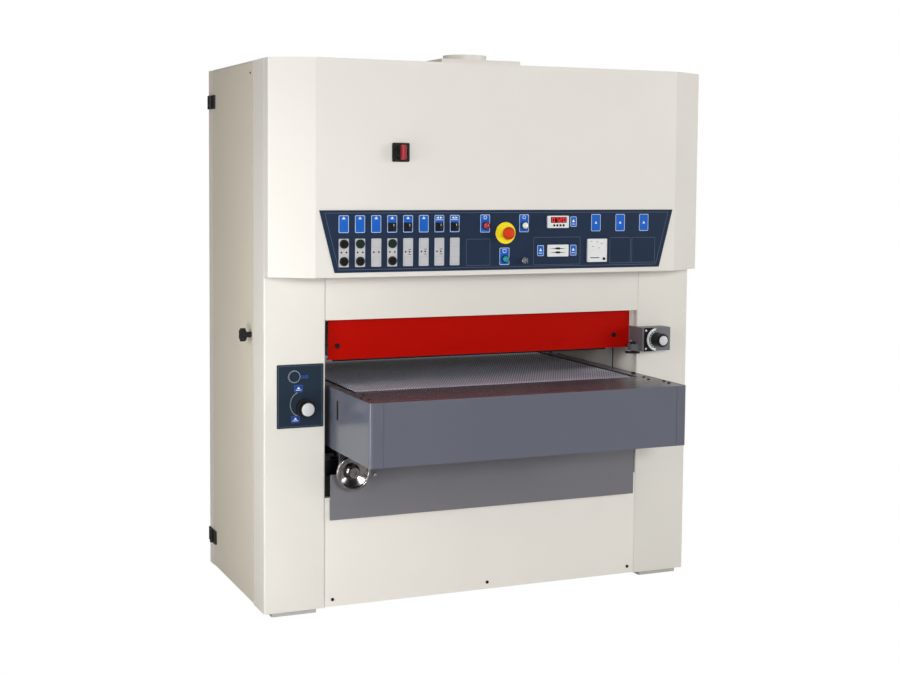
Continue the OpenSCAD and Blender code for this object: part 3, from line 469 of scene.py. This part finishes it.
# Main isolator
# A black moulded plate on the cabinet's face carries a turning disc with a dark red grip bar.
# It switches the machine off for work on it.
ISOLATOR = (-392.0, 1592.0)
ISOLATOR_FACE = -396.0
ISOLATOR_SIZE = (62.0, 64.0)
ISOLATOR_T = 6.0
DISC = [(0, 12.0), (22.5, 12.0), (24.0, 10.5), (24.0, 0.3), (0, 0.3)]
GRIP_FACE = -430.0
GRIP_SIZE = (14.0, 50.0)
GRIP_T = 22.5
GRIP_EDGE = 1.5
# Red nylon is dark and half gloss.
grip_red = finish_of("isolator_red", "A3182A", 0.4, drift_mm=15.0)
isolator_plate = bmesh.new()
slab(isolator_plate, ISOLATOR, ISOLATOR_SIZE, ISOLATOR_FACE, ISOLATOR_T, radius=5.0)
piece(isolator_plate, "isolator_plate", black_nylon, "machine")
disc = bmesh.new()
lathe(disc, DISC, (ISOLATOR[0], ISOLATOR_FACE, ISOLATOR[1]), FORWARD, steps=48)
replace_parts(piece(disc, "isolator_disc", button_black, "isolator_handle"), "isolator_handle")
grip = bmesh.new()
slab(grip, ISOLATOR, GRIP_SIZE, GRIP_FACE, GRIP_T, radius=5.0)
rim = [e for e in grip.edges if all(abs(v.co.y - GRIP_FACE * MM) < 1e-6 for v in e.verts)]
bmesh.ops.bevel(grip, geom=rim, offset=GRIP_EDGE * MM, segments=2, affect="EDGES", profile=0.5, material=-1)
piece(grip, "isolator_grip", grip_red, "isolator_handle")

# Panel instruments
# A digital thickness display, a level gauge and a timer sit in white moulded frames.
# Display digits are red segments showing a plain number; the gauge has two dark spindle marks.
DISPLAY = (208.0, 1361.5)
WINDOW_SIZE = (62.0, 21.0)
WINDOW_FACE = PANEL - 6.2
WINDOW_T = 0.8
DIGIT_AT = (182.5, 1354.5)
DIGIT_PITCH = 14.2
SEGMENT_W, SEGMENT_H = 8.0, 7.0
SEGMENT_LINE, SEGMENT_T = 2.2, 0.15
SEGMENTS = {"a": ((0, 2), (1, 2)), "b": ((1, 1), (1, 2)), "c": ((1, 0), (1, 1)), "d": ((0, 0), (1, 0)),
            "e": ((0, 0), (0, 1)), "f": ((0, 1), (0, 2)), "g": ((0, 1), (1, 1))}
SHOWN = ("abcdef", "abc", "abged", "abcdef")
DISPLAY_KEY = [(0, 1.6), (3.4, 1.6), (4.2, 1.0), (4.2, 0.0), (0, 0.0)]
KEY_X = [190.0 + 12.5 * i for i in range(4)]
KEY_FACE, KEY_Z = PANEL - 5.5, 1342.0
SPINDLE_TIP = 33.0
SPINDLE_BULGE = [(-10.0, 1.5), (-6.0, 3.6), (6.0, 3.6), (10.0, 1.5)]
SPINDLE_X, SPINDLE_Z = 207.5, (1260.0, 1246.0)
GAUGE_FACE = PANEL - 3.8
TIMER_FACE = PANEL - 6.5
TIMER_LINE = ((338.0, 1225.0), (372.0, 1225.0))
TIMER_DASHES = ((340.0, 1284.0), (364.0, 1282.0), (382.0, 1276.0), (346.0, 1266.0), (372.0, 1260.0))
TIMER_KNOB = [(0, 3.0), (4.0, 3.0), (5.0, 2.0), (5.0, 0.0), (0, 0.0)]
TIMER_KNOB_AT = (392.0, TIMER_FACE, 1221.0)
# White mouldings are clean and half gloss; the window is dark red acrylic, and its lit segments glow weakly.
white_moulding = finish_of("white_moulding", "E9EAEC", 0.4, drift_mm=25.0, spread=0.02)
dark_window = finish_of("dark_window", "2A0D10", 0.12, drift_mm=10.0, coat=0.6)
digit_red = finish_of("lit_red_segment", "F4303A", 0.4, drift_mm=4.0)
digit_shader = digit_red.node_tree.nodes["Principled BSDF"]
digit_shader.inputs["Emission Color"].default_value = linear("F4303A")
digit_shader.inputs["Emission Strength"].default_value = 0.5
dress(white_moulding, "panel_instruments")
window = bmesh.new()
slab(window, DISPLAY, WINDOW_SIZE, WINDOW_FACE, WINDOW_T, radius=1.5)
piece(window, "display_window", dark_window, "machine")
digits = bmesh.new()
for place, lit in enumerate(SHOWN):
    left = DIGIT_AT[0] + DIGIT_PITCH * place
    for key in lit:
        ends = [(left + SEGMENT_W * x, DIGIT_AT[1] + SEGMENT_H * z) for x, z in SEGMENTS[key]]
        bar(digits, ends[0], ends[1], SEGMENT_LINE, WINDOW_FACE, SEGMENT_T)
piece(digits, "display_digits", digit_red, "machine")
keys = bmesh.new()
for x in KEY_X:
    lathe(keys, DISPLAY_KEY, (x, KEY_FACE, KEY_Z), FORWARD, steps=24)
piece(keys, "display_keys", button_black, "machine")
marks = bmesh.new()
spindle = [(-SPINDLE_TIP, 0.0)] + SPINDLE_BULGE + [(SPINDLE_TIP, 0.0)]
spindle += [(x, -z) for x, z in reversed(SPINDLE_BULGE)]
for z in SPINDLE_Z:
    prism(marks, spindle, (SPINDLE_X, z), GAUGE_FACE, thick=0.3)
bar(marks, TIMER_LINE[0], TIMER_LINE[1], width=3.0, front=TIMER_FACE)
for x, z in TIMER_DASHES:
    bar(marks, (x - 3.0, z), (x + 3.0, z), FINE_LINE, TIMER_FACE)
lathe(marks, TIMER_KNOB, TIMER_KNOB_AT, FORWARD, steps=24)
piece(marks, "instrument_marks", black_oxide, "machine")

# Feed speed panel
# A navy plate on the left column carries a round meter ring and the feed speed knob with a pale cap.
# A printed arc and two blue signs show the fast and the slow end of the knob's turn.
SIDE = -268.0
METER = (-727.6, SIDE, 828.7)
METER_RING = [(18.2, 1.0), (18.2, 4.2), (21.2, 4.2), (22.2, 3.2), (22.2, 0.0), (22.05, 0.0), (22.05, 1.0),
              (18.2, 1.0)]
KNOB_TOP = (-689.0, SIDE - 36.0, 718.5)
KNOB_CAP = [(0, 1.2), (21.0, 1.2), (22.5, 0.4), (22.5, 0.0), (0, 0.0)]
ARC_AT = (-705.0, 733.0)
ARC_SIZE = (36.0, 42.0)
ARC_LINE = 3.2
SIDE_BORDER = (-783.0, -628.0, 657.0, 865.0)
SIDE_FILM = SIDE - FILM_T
SPEED_LABELS = ((-712.0, 787.0, 30.0, 24.0), (-723.0, 682.0, 30.0, 24.0))
METER_LABELS = ((-698.0, 826.0, 12.0, 10.0), (-684.0, 826.0, 12.0, 10.0))
SIDE_RIM = 2.4
# The plate is a duller navy than the operator panel's; ring and inks are flat greys and blues.
side_plate = finish_of("dark_side_plate", "1D2C3C", 0.5, drift_mm=80.0, spread=0.06, grain_mm=0.6,
                       relief=0.04, shine=0.2)
ring_grey = finish_of("grey_ring", "7C8691", 0.4, drift_mm=20.0)
pale_cap = finish_of("pale_grey_cap", "D5D6D8", 0.35, drift_mm=15.0, spread=0.03)
arc_ink = finish_of("pale_grey_ink", "98A0AA", 0.5, drift_mm=20.0)
side_edge_ink = finish_of("mid_blue_ink", "2C5FB4", 0.45, drift_mm=20.0)
side_film = finish_of("deep_blue_film", "0E3C8C", 0.4, drift_mm=25.0, spread=0.06, shine=0.3)
dress(side_plate, "side_panel")
dress(black_nylon, "speed_knob")
ring = bmesh.new()
lathe(ring, METER_RING, METER, FORWARD, steps=48)
piece(ring, "meter_ring", ring_grey, "machine")
cap = bmesh.new()
lathe(cap, KNOB_CAP, KNOB_TOP, FORWARD, steps=48)
piece(cap, "speed_knob_cap", pale_cap, "speed_knob")
arc = bmesh.new()
turns = [math.radians(degrees) for degrees in range(-70, 71, 10)]
arc_points = [(ARC_AT[0] - ARC_SIZE[0] * math.cos(a), ARC_AT[1] + ARC_SIZE[1] * math.sin(a)) for a in turns]
for a, b in zip(arc_points, arc_points[1:]):
    bar(arc, a, b, ARC_LINE, SIDE)
piece(arc, "speed_arc", arc_ink, "machine")
border = bmesh.new()
box_line(border, *SIDE_BORDER, FINE_LINE, SIDE)
piece(border, "side_panel_border", line_ink, "machine")
side_edges = bmesh.new()
side_films = bmesh.new()
for x, z, w, h in SPEED_LABELS + METER_LABELS:
    slab(side_edges, (x, z), (w, h), SIDE - INK, INK, radius=2.5)
    slab(side_films, (x, z), (w - SIDE_RIM, h - SIDE_RIM), SIDE_FILM, FILM_T, radius=1.8)
piece(side_edges, "side_label_edges", side_edge_ink, "machine")
piece(side_films, "side_labels", side_film, "machine")
side_signs = bmesh.new()
for x, z, w, h in SPEED_LABELS:
    bar(side_signs, (x - 9.0, z - 5.0), (x + 9.0, z - 5.0), SIGN_LINE, SIDE_FILM)
    arrow(side_signs, (x, z), half=6.0, foot=-1.0, tip=6.0, front=SIDE_FILM)
piece(side_signs, "side_signs", white_ink, "machine")

# Thickness dial
# A grey painted bracket on the right column holds the dial knob and guides the feeler disc under its arm.
# A black plate with two small white screws carries the printed white scale beside the knob.
DIAL_FACE = -325.0
DIAL_X, DIAL_Z = 665.0, 911.0
DIAL_PLATE = (636.0, DIAL_Z)
DIAL_PLATE_SIZE = (52.0, 88.0)
DIAL_PLATE_T = 1.0
SCALE_T = 1.25
SCALE_RADII = (43.0, 34.0)
SCALE_TURNS = [-174.0 + 5.6 * step for step in range(31)]
TICK_TURNS = [-170.0 + 8.9 * step for step in range(19)]
TICK_FROM, LONG_TICK_FROM, TICK_TO = 39.5, 37.0, 42.0
TICK_LINE = 1.0
DIAL_RING_T = 1.6
DIAL_RING = [(26.0, 0.0), (26.0, DIAL_RING_T), (32.0, DIAL_RING_T), (32.6, 1.0), (32.6, 0.0), (26.0, 0.0)]
DOT = [(0, 0.2), (1.6, 0.2), (1.8, 0.0), (0, 0.0)]
DOT_R = 29.4
DOT_TURNS = [-150.0 + 20.0 * step for step in range(7)]
DIAL_SCREW_X, DIAL_SCREW_Z = 618.0, (877.0, 945.0)
CHEEK_SCREW = (603.0, -243.0, 898.0)
DIAL_CAP = [(0, 1.5), (16.0, 1.5), (17.5, 0.6), (17.5, 0.0), (0, 0.0)]
DIAL_KNOB_TOP = DIAL_FACE - 48.0
# The bracket's powder coat is a mid grey; its small screws are white nylon, and the one in its cheek plated.
bracket_paint = finish_of("grey_powder_coat", "6E7077", 0.42, drift_mm=120.0, spread=0.03, relief=0.06)
white_nylon = finish_of("white_nylon_screw", "E6E6E4", 0.4, drift_mm=5.0)
dress(bracket_paint, "gauge_bracket")
dress(black_nylon, "dial_knob", "feeler_disc")


def on_dial(radius, degrees):
    """Point x, z at a radius of the dial, with the angle measured from straight up."""
    angle = math.radians(degrees)
    return DIAL_X + radius * math.sin(angle), DIAL_Z + radius * math.cos(angle)


dial_plate = bmesh.new()
slab(dial_plate, DIAL_PLATE, DIAL_PLATE_SIZE, DIAL_FACE - DIAL_PLATE_T, DIAL_PLATE_T, radius=2.0)
piece(dial_plate, "dial_plate", button_black, "machine")
scale = bmesh.new()
band = [on_dial(SCALE_RADII[0], degrees) for degrees in SCALE_TURNS]
band += [on_dial(SCALE_RADII[1], degrees) for degrees in reversed(SCALE_TURNS)]
prism(scale, band, (0.0, 0.0), DIAL_FACE - SCALE_T, SCALE_T)
piece(scale, "dial_scale", white_ink, "machine")
ticks = bmesh.new()
for step, degrees in enumerate(TICK_TURNS):
    near = LONG_TICK_FROM if step % 3 == 0 else TICK_FROM
    bar(ticks, on_dial(near, degrees), on_dial(TICK_TO, degrees), TICK_LINE, DIAL_FACE - SCALE_T)
piece(ticks, "dial_ticks", black_oxide, "machine")
dial_ring = bmesh.new()
lathe(dial_ring, DIAL_RING, (DIAL_X, DIAL_FACE, DIAL_Z), FORWARD, steps=64)
piece(dial_ring, "dial_ring", bracket_paint, "machine")
ring_dots = bmesh.new()
for degrees in DOT_TURNS:
    x, z = on_dial(DOT_R, degrees)
    lathe(ring_dots, DOT, (x, DIAL_FACE - DIAL_RING_T, z), FORWARD, steps=16)
piece(ring_dots, "dial_ring_dots", white_ink, "machine")
dial_screws = bmesh.new()
for z in DIAL_SCREW_Z:
    screw(dial_screws, (DIAL_SCREW_X, DIAL_FACE - DIAL_PLATE_T, z), FORWARD, r=4.0, high=1.8)
piece(dial_screws, "dial_screws", white_nylon, "machine")
cheek_screw = bmesh.new()
screw(cheek_screw, CHEEK_SCREW, LEFT, r=5.0, high=3.0)
piece(cheek_screw, "bracket_cheek_screw", plated_steel, "machine")
dial_cap = bmesh.new()
lathe(dial_cap, DIAL_CAP, (DIAL_X, DIAL_KNOB_TOP, DIAL_Z), FORWARD, steps=48)
piece(dial_cap, "dial_cap", pale_cap, "dial_knob")

# Sanding head
# The abrasive loop runs over a ground rubber drum and a steel tension roller, driven by a motor and belts.
# Rubber covered rollers before and behind the drum hold the work down.
STREAKS = (8, 1, 1)
# Ground rubber is dull and dark, and the grit rough and rust brown.
ground_rubber = finish_of("ground_rubber", "2B2C2E", 0.7, drift_mm=60.0, grain_mm=1.0, relief=0.2)
grit = finish_of("coated_abrasive", "7A3B22", 0.9, drift_mm=90.0, spread=0.1, grain_mm=0.5, relief=0.6)
# Turned steel has a bright, soft sheen with fine rings around it.
turned_steel = finish_of("turned_steel", "A9ADB2", 0.3, metal=1.0, drift_mm=40.0, grain_mm=0.3, relief=0.04,
                         stretch=STREAKS)
# Motor enamel is a dark grey with a slight texture of the casting under it.
motor_paint = finish_of("motor_enamel", "4A5058", 0.45, drift_mm=60.0, relief=0.08)
belt_rubber = finish_of("drive_belt_rubber", "18191A", 0.75, drift_mm=30.0, relief=0.15)
dress(ground_rubber, "contact_drum", "infeed_pressure_roller", "outfeed_pressure_roller")
dress(grit, "sanding_belt")
dress(turned_steel, "tension_roller", "motor_pulley")
dress(motor_paint, "main_motor")
dress(belt_rubber, "drive_belts")

# Conveyor table
# A welded bed in a folded grey fairing carries the feed belt, of moulded grey rubber, on two steel rollers.
# Glossy enamelled strips frame the belt, held by black button-head screws.
STRIP_TOP = 784.5
STRIP_SCREWS = ((562.0, -144.0), (548.0, -200.0), (577.0, -259.0), (567.0, -308.0))
STRIP_HEAD = (6.0, 3.0)
CORNER_BOLT = (578.0, -306.0, STRIP_TOP)
CORNER_HEAD = (8.0, 4.5)
# A thin black plate in the slot of the belt's tension adjuster is painted shade, darkening the inside of the
# slot.
TENSION_SLOT_AT = (-594.2, -331.5, 0.0)
TENSION_SLOT_Z = 714.5
TENSION_SLOT_SIZE = (15.0, 66.0)
TENSION_SHADE_T = 1.6
DIAMOND_PITCH = 8.5
DIAMOND_LEAN = 28.0
# Blender's wave texture has this many bands in a metre at a scale of one.
WAVE_BANDS = 20.0 / (2 * math.pi)
# Enamelled strips are smooth enough to mirror the red guard and the columns as soft streaks.
strip_paint = finish_of("strip_enamel", "5A555E", 0.26, drift_mm=200.0, spread=0.08, relief=0.02, shine=0.6,
                        stretch=(0.1, 2, 1))
# Fairing, skirt and bed are coated in three greys, of which the fairing's is the glossiest.
fairing_paint = finish_of("fairing_powder_coat", "646875", 0.25, drift_mm=300.0, spread=0.02, grain_mm=1.0,
                          relief=0.05)
skirt_paint = finish_of("skirt_powder_coat", "75747B", 0.45, drift_mm=200.0, spread=0.02, relief=0.05)
bed_paint = finish_of("bed_enamel", "3C4046", 0.45, drift_mm=90.0, relief=0.06)
dress(fairing_paint, "table_fairing")
dress(strip_paint, "table_strips")
dress(skirt_paint, "table_skirt")
dress(bed_paint, "table_frame")
dress(turned_steel, "idler_roller", "drive_roller")
dress(motor_paint, "feed_motor")
# The belt's diamonds are moulded relief, drawn with a bump; their colour is painted as well, paler on their
# tops as painted light and darker in the grooves between them as painted shade.
belt_skin = finish_of("diamond_belt_rubber_painted_shade", "83868B", 0.62, drift_mm=120.0, spread=0.05, relief=0.1)
belt_tree = belt_skin.node_tree
belt_shader = belt_tree.nodes["Principled BSDF"]
belt_place = add(belt_tree, "ShaderNodeTexCoord")
ribs = []
for lean in (DIAMOND_LEAN, -DIAMOND_LEAN):
    leaning = add(belt_tree, "ShaderNodeMapping", {"Vector": belt_place.outputs["Object"]},
                  Rotation=(0.0, 0.0, math.radians(lean)))
    ribs.append(add(belt_tree, "ShaderNodeTexWave", {"Vector": leaning.outputs["Vector"]},
                    Scale=1000.0 / (WAVE_BANDS * DIAMOND_PITCH), Distortion=0.0))
diamond = add(belt_tree, "ShaderNodeMath", {0: ribs[0].outputs["Fac"], 1: ribs[1].outputs["Fac"]})
diamond.operation = "MINIMUM"
stamp = add(belt_tree, "ShaderNodeBump", {"Height": diamond.outputs["Value"]}, Strength=0.8, Distance=0.0015)
# This ramp paints the diamonds' tops pale and their grooves dark: painted light and painted shade on one grey
# rubber.
painted_diamond_light_and_shade = add(belt_tree, "ShaderNodeValToRGB", {"Fac": diamond.outputs["Value"]})
for stop, position, code in zip(painted_diamond_light_and_shade.color_ramp.elements, (0.15, 0.6), ("8A8D9E", "DDE1F2")):
    stop.position = position
    stop.color = linear(code)
belt_tree.links.new(stamp.outputs["Normal"], belt_shader.inputs["Normal"])
belt_tree.links.new(painted_diamond_light_and_shade.outputs["Color"], belt_shader.inputs["Base Color"])
dress(belt_skin, "feed_belt")
strip_screws = bmesh.new()
for x, y in STRIP_SCREWS:
    for side in (-1, 1):
        screw(strip_screws, (side * x, FRONT + y, STRIP_TOP), UP, *STRIP_HEAD)
screw(strip_screws, CORNER_BOLT, UP, *CORNER_HEAD)
piece(strip_screws, "strip_screws", black_oxide, "table")
# The black plate in the tension adjuster's slot is painted shade for the inside of the slot.
slot_shade_plate = bmesh.new()
slab(slot_shade_plate, (0.0, TENSION_SLOT_Z), TENSION_SLOT_SIZE, 0.0, TENSION_SHADE_T, radius=4.0)
turn_left(slot_shade_plate, TENSION_SLOT_AT)
piece(slot_shade_plate, "tension_slot_painted_shade", black_nylon, "table")

# Handwheel
# A chromed wheel under the table's left corner is turned by hand.
# A plated bolt beside it holds the skirt.
SKIRT_BOLT = (-438.0, -280.0, 473.0)
SKIRT_HEAD = (7.0, 5.0)
# Chrome mirrors the dark space under the table more than the lights, so it looks dark with bright edges.
chrome = finish_of("chrome_plate", "8E8B8C", 0.16, metal=1.0, drift_mm=14.0, spread=0.3, grain_mm=2.0,
                   relief=0.05)
dress(chrome, "feed_handwheel")
skirt_bolt = bmesh.new()
screw(skirt_bolt, SKIRT_BOLT, FORWARD, *SKIRT_HEAD)
piece(skirt_bolt, "skirt_bolt", plated_steel, "table")

# Table lift
# Four trapezoidal screws of turned steel stand on the floor beams and raise the table by nuts.
# A chain from an enamelled gearmotor turns all four together.
dress(motor_paint, "lift_drive")
dress(turned_steel, "lift_screw_1", "lift_screw_2", "lift_screw_3", "lift_screw_4")

# Studio
# The machine stands on a white studio floor under soft lights, seen from its left front corner.
# Floor and backdrop are plain white to the camera and light the machine only weakly.
FLOOR_GREY = 0.62
FLOOR_HALF = 40.0
FLOOR_DROP = 0.0005
# The camera is fitted to the photograph; its angles are radians, and lengths from here on metres.
YAW, PITCH, ROLL = 0.4072, -0.0728, 0.0085
CAMERA_AT = (-2.19667, -5.00503, 1.5225)
floor_mesh = bmesh.new()
bmesh.ops.create_grid(floor_mesh, x_segments=1, y_segments=1, size=FLOOR_HALF)
floor_data = bpy.data.meshes.new("floor")
floor_mesh.to_mesh(floor_data)
floor_mesh.free()
floor = bpy.data.objects.new("floor", floor_data)
floor.location = (0.0, 0.0, -FLOOR_DROP)
bpy.context.scene.collection.objects.link(floor)
studio_white = bpy.data.materials.new("studio_white")
studio_white.use_nodes = True
floor_tree = studio_white.node_tree
floor_shader = floor_tree.nodes["Principled BSDF"]
floor_shader.inputs["Base Color"].default_value = (FLOOR_GREY, FLOOR_GREY, FLOOR_GREY, 1.0)
floor_shader.inputs["Roughness"].default_value = 0.9
glow = add(floor_tree, "ShaderNodeEmission", Color=(1.0, 1.0, 1.0, 1.0), Strength=1.0)
floor_path = add(floor_tree, "ShaderNodeLightPath")
floor_looks = {1: floor_shader.outputs["BSDF"], 2: glow.outputs["Emission"]}
floor_looks["Fac"] = floor_path.outputs["Is Camera Ray"]
choose = add(floor_tree, "ShaderNodeMixShader", floor_looks)
floor_tree.links.new(choose.outputs["Shader"], floor_tree.nodes["Material Output"].inputs["Surface"])
floor_data.materials.append(studio_white)
world = bpy.data.worlds.new("studio")
bpy.context.scene.world = world
world.use_nodes = True
world_tree = world.node_tree
back = world_tree.nodes["Background"]
to_camera = add(world_tree, "ShaderNodeLightPath").outputs["Is Camera Ray"]
level = add(world_tree, "ShaderNodeMapRange", {"Value": to_camera}, To_Min=0.2, To_Max=1.0)
tint = add(world_tree, "ShaderNodeValToRGB", {"Fac": to_camera})
tint.color_ramp.elements[0].color = (1.0, 0.94, 0.84, 1.0)
tint.color_ramp.elements[1].color = (1.0, 1.0, 1.0, 1.0)
world_tree.links.new(tint.outputs["Color"], back.inputs["Color"])
world_tree.links.new(level.outputs["Result"], back.inputs["Strength"])


def softbox(name, at, target, size, watts):
    """Square light aimed at a point, hidden from the camera."""
    data = bpy.data.lights.new(name, "AREA")
    data.energy = watts
    data.size = size
    made = bpy.data.objects.new(name, data)
    made.location = at
    made.visible_camera = False
    made.rotation_euler = (Vector(target) - Vector(at)).to_track_quat("-Z", "Y").to_euler()
    bpy.context.scene.collection.objects.link(made)


softbox("key_light", (-1.5, -8.8, 2.8), (0.2, -0.3, 0.95), size=1.5, watts=268.0)
softbox("corner_light", (-4.2, -3.6, 1.9), (-0.8, -0.4, 1.0), size=1.6, watts=22.0)
softbox("near_left_light", (-2.2, -0.8, 1.4), (-0.7, -0.3, 1.1), size=0.8, watts=9.6)
softbox("table_light", (-1.8, -0.9, 0.5), (-0.6, -0.5, 0.65), size=0.4, watts=5.2)
softbox("left_light", (-3.5, -1.2, 1.7), (-0.8, -0.2, 1.0), size=1.2, watts=3.0)
softbox("right_light", (6.0, -4.2, 2.0), (0.6, -0.3, 1.0), size=2.4, watts=150.0)
# One small light stands in the passage, where the guard keeps the others out.
softbox("passage_light", (0.38, -0.195, 0.96), (0.615, -0.2, 0.985), size=0.06, watts=0.17)
softbox("rear_light", (1.0, 3.0, 5.8), (0.3, 0.45, 1.5), size=1.6, watts=85.0)
softbox("top_light", (0.0, 0.0, 5.0), (0.0, 0.0, 0.0), size=3.0, watts=20.0)
ahead = Vector((math.sin(YAW) * math.cos(PITCH), math.cos(YAW) * math.cos(PITCH), math.sin(PITCH)))
level_right = Vector((math.cos(YAW), -math.sin(YAW), 0.0))
level_up = level_right.cross(ahead)
right = level_right * math.cos(ROLL) + level_up * math.sin(ROLL)
up = level_up * math.cos(ROLL) - level_right * math.sin(ROLL)
camera_data = bpy.data.cameras.new("photo_camera")
camera_data.sensor_width = 36.0
camera_data.lens = 58.47
camera_data.shift_y = -0.0639
camera_data.clip_end = 200.0
camera = bpy.data.objects.new("photo_camera", camera_data)
camera.matrix_world = Matrix.Translation(CAMERA_AT) @ Matrix((right, up, -ahead)).transposed().to_4x4()
bpy.context.scene.collection.objects.link(camera)
bpy.context.scene.camera = camera
bpy.context.scene.view_settings.view_transform = "Standard"
